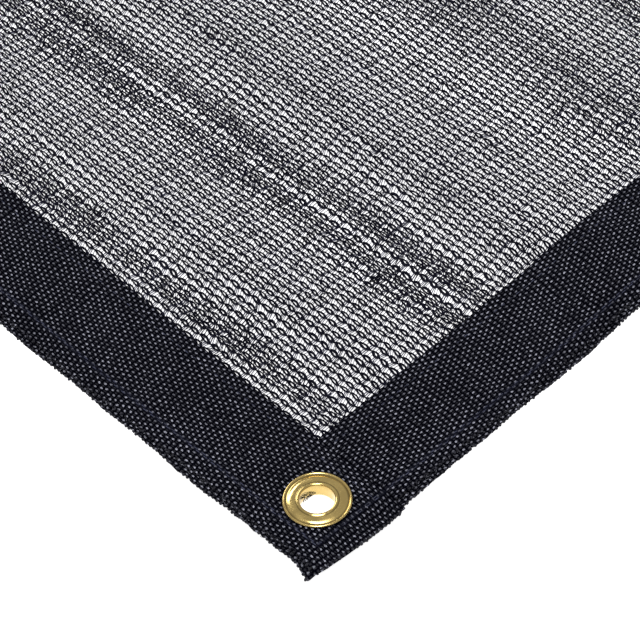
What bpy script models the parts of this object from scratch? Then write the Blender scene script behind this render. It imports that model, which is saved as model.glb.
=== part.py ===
"""Knitted shade cloth: a square net panel held between woven edge tapes, with a brass eyelet
in each corner. It lies loosely on a floor, with its front left corner curled up a little.

Metres, +Z up. The origin is on the floor under the middle of the panel. Places on the panel
are given as across, from the left edge (-X), and along, from the front edge (-Y).
"""

import math

import bmesh
import bpy
from mathutils import Matrix, Vector

# The panel and its three layers
SIDE = 0.400
NET_THICK = 0.0010
TAPE_THICK = 0.0010
LAYER_GAP = 0.0003

# The edge tapes: the left and right ones run through the corners, the others stop at them
TAPE_WIDTH = 0.050
TAPE_PEEK = 0.002  # how far an under tape shows outside its top tape
END_STEP = 0.0025  # how far the through tapes reach past the front and back ones
END_SLANT = 0.036  # across, where a through tape's end reaches its full length
CORNER_TRIM = 0.004

# The net between the tapes
NET_INSET = 0.008
NET_CORNER = 0.072  # across plus along, where the net's hidden corner is cut off
NET_DROP = 0.016  # how soon the net comes down to the floor beside the tapes

# The eyelets: a flanged one through all layers, closed over a washer beneath
EYELET_INSET = 0.028
EYELET_RADIUS = 0.01475
THROAT_RADIUS = 0.0075
BARREL_WALL = 0.0006
TAPE_HOLE_RADIUS = 0.0087
FLANGE_THICK = 0.0006
LIP_RADIUS = 0.0097
LIP_THICK = 0.0008
WASHER_RADIUS = 0.0132
WASHER_THICK = 0.0008
TURN_STEPS = 28

# The front left corner's curl, and the other corners' rise over their eyelets
CURL_HEIGHT = 0.0068
CURL_REACH = 0.115
CURL_POWER = 1.5
REST_FLAT = 0.060
REST_REACH = 0.105

# Places where an edge stands off the floor
EDGE_HUMPS = (
    # edge, middle of the hump, half its length, height
    ("front", 0.215, 0.045, 0.0021),
    ("left", 0.265, 0.038, 0.0013),
    ("right", 0.160, 0.045, 0.0016),
    ("back", 0.240, 0.045, 0.0015),
)
HUMP_FADE = 0.110  # distance from the edge at which a hump has died out

# Soft ridges of the net, running from front to back
RIDGES = (
    # across at the front, across at the back, half width, height
    (0.101, 0.090, 0.036, 0.0030),
    (0.202, 0.180, 0.050, 0.0036),
    (0.304, 0.290, 0.044, 0.0029),
)
RIDGE_WANE = 0.3  # share of a ridge's height that comes and goes along it
RIDGE_WAVE = 0.290

# The slow in and out of the tapes' outer edges
WANDER = 0.0006
WANDER_LONG = 0.117
WANDER_SHORT = 0.053

# Grid steps
TAPE_STEPS_LONG = 40
TAPE_STEPS_WIDE = 3
NET_STEPS_ACROSS = 27
NET_STEPS_ALONG = 16

HALF = SIDE / 2
NET_MIDDLE = TAPE_THICK + LAYER_GAP + NET_THICK / 2
STACK = 2 * (TAPE_THICK + LAYER_GAP) + NET_THICK
LAYER_MIDDLE = {"under": TAPE_THICK / 2, "top": STACK - TAPE_THICK / 2}
LIP_DEPTH = LAYER_GAP + WASHER_THICK + LAYER_GAP + LIP_THICK
TOP_INNER = TAPE_PEEK + TAPE_WIDTH


def clear_scene():
    for obj in list(bpy.data.objects):
        bpy.data.objects.remove(obj)


def new_collection(name):
    collection = bpy.data.collections.new(name)
    bpy.context.scene.collection.children.link(collection)
    return collection


def move_to(obj, collection):
    for holder in list(obj.users_collection):
        holder.objects.unlink(obj)
    collection.objects.link(obj)


def new_material(name, color, roughness, metallic=0.0):
    material = bpy.data.materials.new(name)
    material.use_nodes = True
    shader = material.node_tree.nodes["Principled BSDF"]
    shader.inputs["Base Color"].default_value = (*color, 1.0)
    shader.inputs["Roughness"].default_value = roughness
    shader.inputs["Metallic"].default_value = metallic
    material.diffuse_color = (*color, 1.0)
    return material


def smooth(low, high, value):
    """0 up to low, 1 from high on, and a soft rise between."""
    share = min(max((value - low) / (high - low), 0.0), 1.0)
    return share * share * (3.0 - 2.0 * share)


def hump(offset, half_length):
    """A rounded rise, 1 at its middle and 0 from half_length on."""
    share = min(abs(offset) / half_length, 1.0)
    return 0.5 + 0.5 * math.cos(math.pi * share)


def wander(place, phase):
    """How far a hand-guided edge strays from straight, between plus and minus WANDER."""
    long_wave = 0.6 * math.sin(math.tau * place / WANDER_LONG + phase)
    short_wave = 0.4 * math.sin(math.tau * place / WANDER_SHORT + 2.3 * phase)
    return WANDER * (long_wave + short_wave)


def from_edge(edge, across, along):
    """Distance of a point from an edge, and its place along that edge."""
    if edge == "left":
        return across, along
    if edge == "right":
        return SIDE - across, along
    if edge == "front":
        return along, across
    return SIDE - along, across


def lift(across, along):
    """How far the underside of the edge tapes is off the floor."""
    diagonal = (across + along) / math.sqrt(2.0)
    height = CURL_HEIGHT * max(0.0, 1.0 - diagonal / CURL_REACH) ** CURL_POWER
    for corner_across, corner_along in ((SIDE, 0.0), (0.0, SIDE), (SIDE, SIDE)):
        away = math.hypot(across - corner_across, along - corner_along)
        height += LIP_DEPTH * (1.0 - smooth(REST_FLAT, REST_REACH, away))
    for edge, middle, half_length, rise in EDGE_HUMPS:
        depth, place = from_edge(edge, across, along)
        height += rise * hump(place - middle, half_length) * (1.0 - smooth(TAPE_WIDTH, HUMP_FADE, depth))
    return height


def openness(across, along):
    """0 where the net is held between the tapes, 1 where it is free."""
    free = 1.0
    for distance in (across, along, SIDE - across, SIDE - along):
        free *= smooth(TOP_INNER, TOP_INNER + NET_DROP, distance)
    return free


def net_height(across, along):
    """Height of the net's middle surface: on the floor, with soft ridges, and up at the tapes."""
    free = openness(across, along)
    ridges = 0.0
    for index, (front, back, half_width, rise) in enumerate(RIDGES):
        middle = front + (back - front) * along / SIDE
        wane = 0.5 + 0.5 * math.sin(math.tau * along / RIDGE_WAVE + 2.1 * index)
        ridges += rise * (1.0 - RIDGE_WANE * wane) * hump(across - middle, half_width)
    bound = NET_MIDDLE + (NET_THICK / 2 - NET_MIDDLE) * free
    return lift(across, along) + bound + free * ridges


def make_grid(name, steps_across, steps_along, place, collection, material):
    """An open sheet whose points come from place(share across, share along), as panel places."""
    bpy.ops.mesh.primitive_grid_add(x_subdivisions=steps_across, y_subdivisions=steps_along, size=1.0)
    sheet = bpy.context.object
    sheet.name = name
    sheet.data.name = name
    for vertex in sheet.data.vertices:
        across, along, height = place(vertex.co.x + 0.5, vertex.co.y + 0.5)
        vertex.co = (across - HALF, along - HALF, height)
    sheet.data.materials.append(material)
    move_to(sheet, collection)
    return sheet


def trim(sheet, point, outward):
    """Cuts off what lies beyond a vertical plane, given by a panel place and a direction."""
    mesh = bmesh.new()
    mesh.from_mesh(sheet.data)
    bmesh.ops.bisect_plane(
        mesh,
        geom=mesh.verts[:] + mesh.edges[:] + mesh.faces[:],
        plane_co=(point[0] - HALF, point[1] - HALF, 0.0),
        plane_no=(outward[0], outward[1], 0.0),
        clear_outer=True,
    )
    mesh.to_mesh(sheet.data)
    mesh.free()


def trim_corners(sheet, reach):
    """Cuts the four corners off where distance from one edge plus the other is reach."""
    for side_across in (0, 1):
        for side_along in (0, 1):
            point = (abs(side_across * SIDE - reach), side_along * SIDE)
            trim(sheet, point, (side_across * 2 - 1, side_along * 2 - 1))


def thicken(sheet, thickness):
    solidify = sheet.modifiers.new("Thickness", "SOLIDIFY")
    solidify.thickness = thickness
    solidify.offset = 0.0


def finish_surface(obj):
    obj.data.shade_smooth()
    obj.data.set_sharp_from_angle(angle=math.radians(35.0))


def net_stations(steps):
    """Shares across the net, close together where it comes down beside the tapes."""
    near = (0.0, 0.5, 0.98, 1.15, 1.32)
    edge_zone = [NET_INSET + (TOP_INNER - NET_INSET) * share for share in near]
    first = edge_zone[-1] + 0.004
    inner = [first + (SIDE - 2 * first) * step / steps for step in range(steps + 1)]
    places = edge_zone + inner + [SIDE - place for place in reversed(edge_zone)]
    return places


def make_net(collection, material):
    across_places = net_stations(NET_STEPS_ACROSS)
    along_places = net_stations(NET_STEPS_ALONG)

    def place(share_across, share_along):
        across = across_places[round(share_across * (len(across_places) - 1))]
        along = along_places[round(share_along * (len(along_places) - 1))]
        return across, along, net_height(across, along)

    net = make_grid(
        "net_panel", len(across_places) - 1, len(along_places) - 1, place, collection, material
    )
    trim_corners(net, NET_CORNER)
    thicken(net, NET_THICK)
    finish_surface(net)
    return net


def end_step(across):
    """How far short of the panel's end a through tape stops: it slants out from its corner."""
    return END_STEP * (1.0 - smooth(0.0, END_SLANT, across))


def make_through_tape(name, layer, mirrored, phase, collection, material):
    """The left tape, or mirrored the right one, which runs through both corners."""
    inset = TAPE_PEEK if layer == "top" else 0.0

    def place(share_across, share_along):
        depth_share = 1.0 - share_across if mirrored else share_across
        straight_along = SIDE * share_along
        outer = inset + WANDER + wander(straight_along, phase)
        depth = outer + (inset + TAPE_WIDTH - outer) * depth_share
        start = end_step(depth)
        along = start + (SIDE - 2 * start) * share_along
        across = SIDE - depth if mirrored else depth
        return across, along, lift(across, along) + LAYER_MIDDLE[layer]

    tape = make_grid(name, TAPE_STEPS_WIDE, TAPE_STEPS_LONG, place, collection, material)
    trim_corners(tape, CORNER_TRIM + inset)
    thicken(tape, TAPE_THICK)
    finish_surface(tape)
    return tape


def make_between_tape(name, layer, mirrored, phase, collection, material):
    """The front tape, or mirrored the back one, which stops at the tapes that run through."""
    inset = TAPE_PEEK if layer == "top" else 0.0
    first = inset + TAPE_WIDTH + LAYER_GAP

    def place(share_across, share_along):
        across = first + (SIDE - 2 * first) * share_across
        outer = END_STEP + inset / 2 + wander(across, phase)
        inner = inset + TAPE_WIDTH
        depth_share = 1.0 - share_along if mirrored else share_along
        depth = outer + (inner - outer) * depth_share
        along = SIDE - depth if mirrored else depth
        return across, along, lift(across, along) + LAYER_MIDDLE[layer]

    steps_long = round(TAPE_STEPS_LONG * (SIDE - 2 * first) / SIDE)
    tape = make_grid(name, steps_long, TAPE_STEPS_WIDE, place, collection, material)
    thicken(tape, TAPE_THICK)
    finish_surface(tape)
    return tape


def eyelet_frame(across, along):
    """Placement of an eyelet: its middle half way up the layers, its axis square to the tape."""
    step = 0.006
    slope_across = (lift(across + step, along) - lift(across - step, along)) / (2 * step)
    slope_along = (lift(across, along + step) - lift(across, along - step)) / (2 * step)
    axis = Vector((-slope_across, -slope_along, 1.0)).normalized()
    turn = Vector((0.0, 0.0, 1.0)).rotation_difference(axis)
    middle = Vector((across - HALF, along - HALF, lift(across, along))) + axis * (STACK / 2)
    return Matrix.Translation(middle) @ turn.to_matrix().to_4x4()


def turned(name, profile, frame, collection, material):
    """A ring turned from a closed profile of (radius, height) points round the eyelet's axis."""
    mesh = bpy.data.meshes.new(name)
    points = [(radius, 0.0, height) for radius, height in profile]
    edges = [(index, (index + 1) % len(points)) for index in range(len(points))]
    mesh.from_pydata(points, edges, [])
    ring = bpy.data.objects.new(name, mesh)
    collection.objects.link(ring)
    ring.matrix_world = frame
    ring.data.materials.append(material)
    screw = ring.modifiers.new("Turn", "SCREW")
    screw.axis = "Z"
    screw.steps = TURN_STEPS
    screw.render_steps = TURN_STEPS
    screw.use_merge_vertices = True
    screw.merge_threshold = 0.00001
    screw.use_smooth_shade = True
    return ring


def eyelet_profile():
    """Rolled rim, groove, broad flange, raised throat ring, barrel and the lip closed under it."""
    face = STACK / 2 + LAYER_GAP
    top = face + FLANGE_THICK
    barrel = THROAT_RADIUS + BARREL_WALL
    lip_top = -(STACK / 2 + LAYER_GAP + WASHER_THICK + LAYER_GAP)
    lip_low = lip_top - LIP_THICK
    return (
        (EYELET_RADIUS, face + 0.45 * FLANGE_THICK),
        (EYELET_RADIUS - 0.0002, face),
        (barrel, face),
        (barrel, lip_top),
        (LIP_RADIUS - 0.0002, lip_top),
        (LIP_RADIUS, lip_top - 0.4 * LIP_THICK),
        (LIP_RADIUS - 0.0005, lip_low),
        (THROAT_RADIUS + 0.0006, lip_low),
        (THROAT_RADIUS, lip_low + 0.0006),
        (THROAT_RADIUS, top + 0.0001),
        (THROAT_RADIUS + 0.0004, top + 0.0006),
        (THROAT_RADIUS + 0.0012, top + 0.0006),
        (THROAT_RADIUS + 0.0019, top + 0.0001),
        (EYELET_RADIUS - 0.0024, top - 0.0002),
        (EYELET_RADIUS - 0.0018, top - 0.0003),
        (EYELET_RADIUS - 0.0011, top + 0.0001),
        (EYELET_RADIUS - 0.0004, top),
    )


def washer_profile():
    high = -(STACK / 2 + LAYER_GAP)
    low = high - WASHER_THICK
    inner = THROAT_RADIUS + BARREL_WALL + LAYER_GAP
    return ((WASHER_RADIUS, high), (WASHER_RADIUS, low), (inner, low), (inner, high))


def make_hole_cutter(name, frame, collection):
    bpy.ops.mesh.primitive_cylinder_add(vertices=TURN_STEPS, radius=TAPE_HOLE_RADIUS, depth=4 * STACK)
    cutter = bpy.context.object
    cutter.name = name
    cutter.matrix_world = frame
    cutter.hide_render = True
    cutter.display_type = "WIRE"
    move_to(cutter, collection)
    return cutter


def cut_hole(tape, cutter):
    boolean = tape.modifiers.new("Eyelet hole", "BOOLEAN")
    boolean.operation = "DIFFERENCE"
    boolean.object = cutter
    boolean.solver = "EXACT"


def make_eyelet(corner, across, along, tapes, parts, cutters, brass):
    frame = eyelet_frame(across, along)
    turned("eyelet_" + corner, eyelet_profile(), frame, parts, brass)
    turned("washer_" + corner, washer_profile(), frame, parts, brass)
    cutter = make_hole_cutter("hole_" + corner, frame, cutters)
    for tape in tapes:
        cut_hole(tape, cutter)


def main():
    clear_scene()
    parts = new_collection("shade_cloth")
    cutters = new_collection("cutters")
    net_black = new_material("knitted_net", (0.020, 0.020, 0.024), 0.60)
    tape_black = new_material("woven_tape", (0.012, 0.012, 0.017), 0.75)
    brass = new_material("brass", (0.72, 0.56, 0.27), 0.28, metallic=1.0)

    make_net(parts, net_black)
    tapes = {}
    for index, layer in enumerate(("under", "top")):
        for mirrored, side in ((False, "left"), (True, "right")):
            name = f"{layer}_tape_{side}"
            phase = 0.9 + 1.7 * index + 2.6 * mirrored
            tapes[layer, side] = make_through_tape(name, layer, mirrored, phase, parts, tape_black)
        for mirrored, side in ((False, "front"), (True, "back")):
            name = f"{layer}_tape_{side}"
            phase = 2.2 + 1.3 * index + 3.1 * mirrored
            make_between_tape(name, layer, mirrored, phase, parts, tape_black)

    for side, across in (("left", EYELET_INSET), ("right", SIDE - EYELET_INSET)):
        held = (tapes["under", side], tapes["top", side])
        for end, along in (("front", EYELET_INSET), ("back", SIDE - EYELET_INSET)):
            make_eyelet(f"{end}_{side}", across, along, held, parts, cutters, brass)


main()
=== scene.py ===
"""Looks of the knitted shade cloth: the knit, the woven edge tapes, their sewing and frayed edges,
the brass eyelets, and a plain pale stage.

Places on the panel are given as across, from the left edge (-X), and along, from the front edge
(-Y). A place on an edge tape is given as its depth from the panel's edge and its place along it.
"""

import math

import bmesh
import bpy
import numpy as np
from bpy.props import FloatProperty, FloatVectorProperty, IntProperty, PointerProperty
from mathutils import Matrix, Vector


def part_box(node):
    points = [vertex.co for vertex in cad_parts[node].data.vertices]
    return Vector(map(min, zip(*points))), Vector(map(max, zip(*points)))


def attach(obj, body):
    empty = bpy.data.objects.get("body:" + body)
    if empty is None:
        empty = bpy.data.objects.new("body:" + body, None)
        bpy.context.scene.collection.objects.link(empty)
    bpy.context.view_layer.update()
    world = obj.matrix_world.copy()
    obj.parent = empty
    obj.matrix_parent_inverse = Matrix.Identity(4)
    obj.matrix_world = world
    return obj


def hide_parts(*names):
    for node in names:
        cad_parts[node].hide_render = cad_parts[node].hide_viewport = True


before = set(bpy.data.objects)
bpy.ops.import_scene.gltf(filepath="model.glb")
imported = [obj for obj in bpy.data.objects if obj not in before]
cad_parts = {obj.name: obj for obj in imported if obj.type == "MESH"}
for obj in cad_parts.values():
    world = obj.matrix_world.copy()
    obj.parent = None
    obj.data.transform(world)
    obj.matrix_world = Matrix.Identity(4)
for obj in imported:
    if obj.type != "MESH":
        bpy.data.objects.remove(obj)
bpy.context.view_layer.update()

bl_info = {
    "name": "Knitted shade cloth",
    "version": (1, 0, 0),
    "blender": (4, 5, 0),
    "location": "View3D > Sidebar > Shade cloth",
    "description": "Knit, woven edge tapes, sewing and brass eyelets of a shade cloth",
    "category": "Add Mesh",
}

BODY = "root"
MM = 0.001

# The panel's shape, as in its solids
SIDE = round(2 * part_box("under_tape_right")[1].x, 3)
HALF = SIDE / 2
NET_THICK = 0.0010
TAPE_THICK = 0.0010
LAYER_GAP = 0.0003
TAPE_WIDTH = 0.050
TAPE_PEEK = 0.002
END_STEP = 0.0025
END_SLANT = 0.036
CORNER_TRIM = 0.004
NET_DROP = 0.016
EYELET_INSET = 0.028
EYELET_RADIUS = 0.01475
THROAT_RADIUS = 0.0075
BARREL_WALL = 0.0006
TAPE_HOLE_RADIUS = 0.0087
LIP_RADIUS = 0.0097
LIP_THICK = 0.0008
WASHER_RADIUS = 0.0132
WASHER_THICK = 0.0008
CURL_HEIGHT = 0.0068
CURL_REACH = 0.115
CURL_POWER = 1.5
REST_FLAT = 0.060
REST_REACH = 0.105
HUMP_FADE = 0.110
EDGE_HUMPS = (
    # edge, middle of the hump, half its length, height
    ("front", 0.215, 0.045, 0.0021),
    ("left", 0.265, 0.038, 0.0013),
    ("right", 0.160, 0.045, 0.0016),
    ("back", 0.240, 0.045, 0.0015),
)
RIDGES = (
    # across at the front, across at the back, half width, height
    (0.101, 0.090, 0.036, 0.0030),
    (0.202, 0.180, 0.050, 0.0036),
    (0.304, 0.290, 0.044, 0.0029),
)
RIDGE_WANE = 0.3
RIDGE_WAVE = 0.290
WANDER = 0.0006
WANDER_LONG = 0.117
WANDER_SHORT = 0.053

# Where the cloth that is seen differs from its solids
CLOTH_THICK = 0.0007
FLARE = 0.0045  # how far the left tapes' outer edge turns out at the front left corner
FLARE_LONG = 0.015
FLARE_DEEP = 0.006
DRAWN_DOWN = (0.0025, 0.0135)  # depths between which the top tape comes down to the edge
PUCKER = 0.00018
PUCKER_ALONG, PUCKER_ACROSS, PUCKER_SWAY = 330.0, 270.0, 190.0  # radians to a metre
OUTER_GROOVE, INNER_GROOVE = 0.0016, 0.0012  # half widths of the hollows that the seams draw
INNER_GROOVE_SHARE = 0.7
FLOOR_GAP, SEWING_GAP = 0.00003, 0.00002  # least heights off the floor

NET_MIDDLE = TAPE_THICK + LAYER_GAP + NET_THICK / 2
STACK = 2 * (TAPE_THICK + LAYER_GAP) + NET_THICK
LAYERS = ("under", "top")
LAYER_MIDDLE = {"under": TAPE_THICK / 2, "top": STACK - TAPE_THICK / 2}
INSETS = {"under": 0.0, "top": TAPE_PEEK}
LIP_DEPTH = LAYER_GAP + WASHER_THICK + LAYER_GAP + LIP_THICK
TOP_INNER = TAPE_PEEK + TAPE_WIDTH
EDGES = ("left", "right", "front", "back")
THROUGH_EDGES = ("left", "right")
FAR_EDGES = ("right", "back")
MIRRORED_EDGES = ("right", "front")  # a mesh laid on these from a plain strip turns inside out

# Bands where the knit's chains lie closer together, with more threads across
DARK_BANDS = (
    # across, half width, strength
    (0.0640, 0.0070, 1.0),
    (0.1360, 0.0060, 1.15),
    (0.1520, 0.0066, 1.15),
    (0.1870, 0.0040, 0.3),
    (0.2780, 0.0150, 0.5),
    (0.3300, 0.0060, 0.8),
)
# Gaps where two chains lie further apart, with hardly a thread across
LIGHT_LINES = (
    # across, half width, strength
    (0.0555, 0.0030, 0.5),
    (0.1065, 0.0020, 0.8),
    (0.1180, 0.0020, 0.7),
    (0.1440, 0.0024, 1.0),
    (0.1665, 0.0030, 0.5),
)


class KnitSettings(bpy.types.PropertyGroup):
    """Sizes of the knitted net."""

    wale_pitch: FloatProperty(
        name="Chain pitch", description="From one chain of stitches to the next",
        default=0.00347, unit="LENGTH", precision=5,
    )
    stitch_length: FloatProperty(
        name="Stitch length", description="From one open stitch to the next along a chain",
        default=0.0063, unit="LENGTH", precision=5,
    )
    course_drop: FloatProperty(
        name="Course drop", description="How far the stitches sit lower from one chain to the next",
        default=0.00025, unit="LENGTH", precision=5,
    )
    strand_radius: FloatProperty(
        name="Strand radius", description="Radius of the yarn in the chains",
        default=0.00055, unit="LENGTH", precision=5,
    )
    filament_radius: FloatProperty(
        name="Filament radius", description="Radius of the thin threads across the gaps",
        default=0.00030, unit="LENGTH", precision=5,
    )
    tuck_in: FloatProperty(
        name="Tuck in", description="How far the knit is modelled in under the side tapes",
        default=0.0026, unit="LENGTH", precision=5,
    )
    tuck_ends: FloatProperty(
        name="Tuck at the ends", description="How far the chains run in under the end tapes",
        default=0.0094, unit="LENGTH", precision=5,
    )
    loose_threads: IntProperty(
        name="Loose threads", description="Thin threads that stray over the knit", default=3700,
    )
    strips: IntProperty(
        name="Strips", description="Number of pieces that the knit is made in", default=5, min=5,
    )


class TapeSettings(bpy.types.PropertyGroup):
    """Sizes of the woven edge tapes and their sewing."""

    warp_pitch: FloatProperty(
        name="Warp pitch", description="From one lengthwise yarn to the next",
        default=0.00124, unit="LENGTH", precision=5,
    )
    pick_pitch: FloatProperty(
        name="Pick pitch", description="From one crosswise yarn to the next",
        default=0.00242, unit="LENGTH", precision=5,
    )
    edge_pinch: FloatProperty(
        name="Edge pinch", description="How far the top tape comes down at the panel's edge",
        default=0.0018, unit="LENGTH", precision=5,
    )
    fray: FloatProperty(
        name="Fray", description="How far the cut edges stray in and out",
        default=0.00035, unit="LENGTH", precision=5,
    )
    outer_seam: FloatProperty(
        name="Outer seam", description="Depth of the seam beside the panel's edge",
        default=0.0120, unit="LENGTH", precision=5,
    )
    inner_seam: FloatProperty(
        name="Inner seam", description="Depth of the seam beside the net",
        default=0.0455, unit="LENGTH", precision=5,
    )
    seam_groove: FloatProperty(
        name="Seam groove", description="How deep the sewing draws the tape in",
        default=0.00018, unit="LENGTH", precision=5,
    )
    thread_radius: FloatProperty(
        name="Thread radius", description="Radius of the sewing thread",
        default=0.00025, unit="LENGTH", precision=5,
    )
    sewing_stitch: FloatProperty(
        name="Sewing stitch", description="Length of one sewn stitch",
        default=0.0047, unit="LENGTH", precision=5,
    )


class EyeletSettings(bpy.types.PropertyGroup):
    """Sizes of the brass eyelets' turned form."""

    rim_width: FloatProperty(
        name="Rim width", description="Width of the rolled rim",
        default=0.0012, unit="LENGTH", precision=5,
    )
    ring_width: FloatProperty(
        name="Ring width", description="Width of the raised ring round the hole",
        default=0.0015, unit="LENGTH", precision=5,
    )
    turn_steps: IntProperty(
        name="Turn steps", description="Faces round each eyelet", default=72, min=24,
    )


class ColourSettings(bpy.types.PropertyGroup):
    """Colours of the shade cloth."""

    strand: FloatVectorProperty(
        name="Knit strand", description="Yarn of the chains", subtype="COLOR",
        default=(0.0030, 0.0030, 0.0075), min=0.0, max=1.0,
    )
    # Painted sheen: the thin threads are black yarn as the chains are, made grey to stand in for the
    # light along them
    filament: FloatVectorProperty(
        name="Knit filament", description="Thin threads across the gaps", subtype="COLOR",
        default=(0.095, 0.097, 0.132), min=0.0, max=1.0,
    )
    tape_ground: FloatVectorProperty(
        name="Tape ground", description="Hollows of the woven tape", subtype="COLOR",
        default=(0.0005, 0.0005, 0.0019), min=0.0, max=1.0,
    )
    # Painted highlight: the colour that the black tape's raised yarns are lightened towards where
    # they catch the light
    tape_crown_highlight: FloatVectorProperty(
        name="Tape crown", description="Raised yarns of the woven tape", subtype="COLOR",
        default=(0.310, 0.315, 0.375), min=0.0, max=1.0,
    )
    thread: FloatVectorProperty(
        name="Sewing thread", description="Thread of the seams", subtype="COLOR",
        default=(0.022, 0.024, 0.041), min=0.0, max=1.0,
    )
    brass: FloatVectorProperty(
        name="Brass", description="Eyelets and washers", subtype="COLOR",
        default=(0.80, 0.59, 0.22), min=0.0, max=1.0,
    )
    floor: FloatVectorProperty(
        name="Floor", description="The pale floor", subtype="COLOR",
        default=(0.93, 0.93, 0.93), min=0.0, max=1.0,
    )


class StageSettings(bpy.types.PropertyGroup):
    """The camera and the lights."""

    azimuth: FloatProperty(
        name="Azimuth", description="Direction that the camera looks in, from +Y towards +X",
        default=math.radians(42.17), subtype="ANGLE",
    )
    elevation: FloatProperty(
        name="Elevation", description="How far the camera looks down",
        default=math.radians(52.15), subtype="ANGLE",
    )
    roll: FloatProperty(
        name="Roll", description="How far the camera is turned about its own line of sight",
        default=math.radians(-3.13), subtype="ANGLE",
    )
    distance: FloatProperty(
        name="Distance", description="From the camera to what it aims at",
        default=1.300, unit="LENGTH",
    )
    aim: FloatVectorProperty(
        name="Aim", description="The point in the middle of the picture", subtype="XYZ",
        default=(-0.1001, -0.1004, 0.0), unit="LENGTH",
    )
    lens: FloatProperty(
        name="Lens", description="Focal length of the camera in millimetres", default=166.0,
    )
    floor_size: FloatProperty(
        name="Floor size", description="Side of the floor", default=8.0, unit="LENGTH",
    )


class ShadeClothSettings(bpy.types.PropertyGroup):
    """All settings of the shade cloth."""

    knit: PointerProperty(type=KnitSettings, name="Knit", description="The knitted net")
    tape: PointerProperty(type=TapeSettings, name="Tape", description="The woven edge tapes")
    eyelet: PointerProperty(type=EyeletSettings, name="Eyelet", description="The brass eyelets")
    colour: PointerProperty(type=ColourSettings, name="Colour", description="The colours")
    stage: PointerProperty(type=StageSettings, name="Stage", description="Camera and lights")


# The panel's surface


def smooth(low, high, value):
    """0 up to low, 1 from high on, and a soft rise between."""
    share = np.clip((value - low) / (high - low), 0.0, 1.0)
    return share * share * (3.0 - 2.0 * share)


def hump(offset, half_length):
    """A rounded rise, 1 at its middle and 0 from half_length on."""
    share = np.minimum(np.abs(offset) / half_length, 1.0)
    return 0.5 + 0.5 * np.cos(np.pi * share)


def wander(place, phase):
    """How far a hand-guided edge strays from straight, between plus and minus WANDER."""
    long_wave = 0.6 * np.sin(math.tau * place / WANDER_LONG + phase)
    short_wave = 0.4 * np.sin(math.tau * place / WANDER_SHORT + 2.3 * phase)
    return WANDER * (long_wave + short_wave)


def on_panel(edge, depth, place):
    """Across and along of a place on an edge tape."""
    if edge == "left":
        return depth, place
    if edge == "right":
        return SIDE - depth, place
    if edge == "front":
        return place, depth
    return place, SIDE - depth


def from_edge(edge, across, along):
    """Depth from an edge, and the place along that edge."""
    if edge == "left":
        return across, along
    if edge == "right":
        return SIDE - across, along
    if edge == "front":
        return along, across
    return SIDE - along, across


def lift(across, along):
    """How far the underside of the edge tapes is off the floor."""
    diagonal = (across + along) / math.sqrt(2.0)
    height = CURL_HEIGHT * np.maximum(0.0, 1.0 - diagonal / CURL_REACH) ** CURL_POWER
    for corner_across, corner_along in ((SIDE, 0.0), (0.0, SIDE), (SIDE, SIDE)):
        away = np.hypot(across - corner_across, along - corner_along)
        height = height + LIP_DEPTH * (1.0 - smooth(REST_FLAT, REST_REACH, away))
    for edge, middle, half_length, rise in EDGE_HUMPS:
        depth, place = from_edge(edge, across, along)
        fade = 1.0 - smooth(TAPE_WIDTH, HUMP_FADE, depth)
        height = height + rise * hump(place - middle, half_length) * fade
    return height


def openness(across, along):
    """0 where the net is held between the tapes, 1 where it is free."""
    free = 1.0
    for distance in (across, along, SIDE - across, SIDE - along):
        free = free * smooth(TOP_INNER, TOP_INNER + NET_DROP, distance)
    return free


def net_height(across, along):
    """Height of the net's middle surface: on the floor, with soft ridges, and up at the tapes."""
    free = openness(across, along)
    ridges = 0.0
    for index, (front, back, half_width, rise) in enumerate(RIDGES):
        middle = front + (back - front) * along / SIDE
        wane = 0.5 + 0.5 * np.sin(math.tau * along / RIDGE_WAVE + 2.1 * index)
        ridges = ridges + rise * (1.0 - RIDGE_WANE * wane) * hump(across - middle, half_width)
    bound = NET_MIDDLE + (NET_THICK / 2 - NET_MIDDLE) * free
    return lift(across, along) + bound + free * ridges


def nearest_depth(across, along):
    """Distance to the nearest edge of the panel."""
    return np.minimum(np.minimum(across, SIDE - across), np.minimum(along, SIDE - along))


def tape_middle(layer, across, along, tape):
    """Height of a tape layer's middle, with the top one drawn down beside the panel's edge."""
    drawn = 1.0 - smooth(*DRAWN_DOWN, nearest_depth(across, along))
    drop = tape.edge_pinch * drawn if layer == "top" else 0.0
    sway = 2.0 * np.sin(across * PUCKER_SWAY)
    pucker = 0.5 + 0.5 * np.sin(along * PUCKER_ALONG + sway + across * PUCKER_ACROSS)
    return lift(across, along) + LAYER_MIDDLE[layer] - drop + PUCKER * drawn * pucker


def flare(across, along):
    """How far the left tapes' outer edge turns out at the front left corner."""
    share = (1.0 - smooth(0.0, FLARE_LONG, along)) * (1.0 - smooth(0.0, FLARE_DEEP, across))
    return -FLARE * share


def seam_groove(depth, tape):
    """How far the sewing draws the tape's faces in, at a depth from the panel's edge."""
    outer = hump(depth - tape.outer_seam, OUTER_GROOVE)
    inner = hump(depth - tape.inner_seam, INNER_GROOVE)
    return tape.seam_groove * (outer + INNER_GROOVE_SHARE * inner)


# Small tools for making pieces

TUBE_SIDES = 4
ROD_SIDES = 3
MERGE_REACH = 0.00002


def only(obj):
    """Makes obj the one object that is selected and active."""
    bpy.ops.object.select_all(action="DESELECT")
    obj.select_set(True)
    bpy.context.view_layer.objects.active = obj


def apply_modifiers(obj):
    """Applies all of a piece's modifiers, first to last."""
    only(obj)
    for modifier in list(obj.modifiers):
        bpy.ops.object.modifier_apply(modifier=modifier.name)


def join(objects, name):
    """Joins objects into the first of them and names it."""
    only(objects[0])
    for obj in objects[1:]:
        obj.select_set(True)
    bpy.ops.object.join()
    joined = bpy.context.object
    joined.name = name
    joined.data.name = name
    return joined


def points_of(obj):
    """The places of a piece's vertices, one row for each."""
    points = np.zeros(len(obj.data.vertices) * 3)
    obj.data.vertices.foreach_get("co", points)
    return points.reshape(-1, 3)


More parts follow.
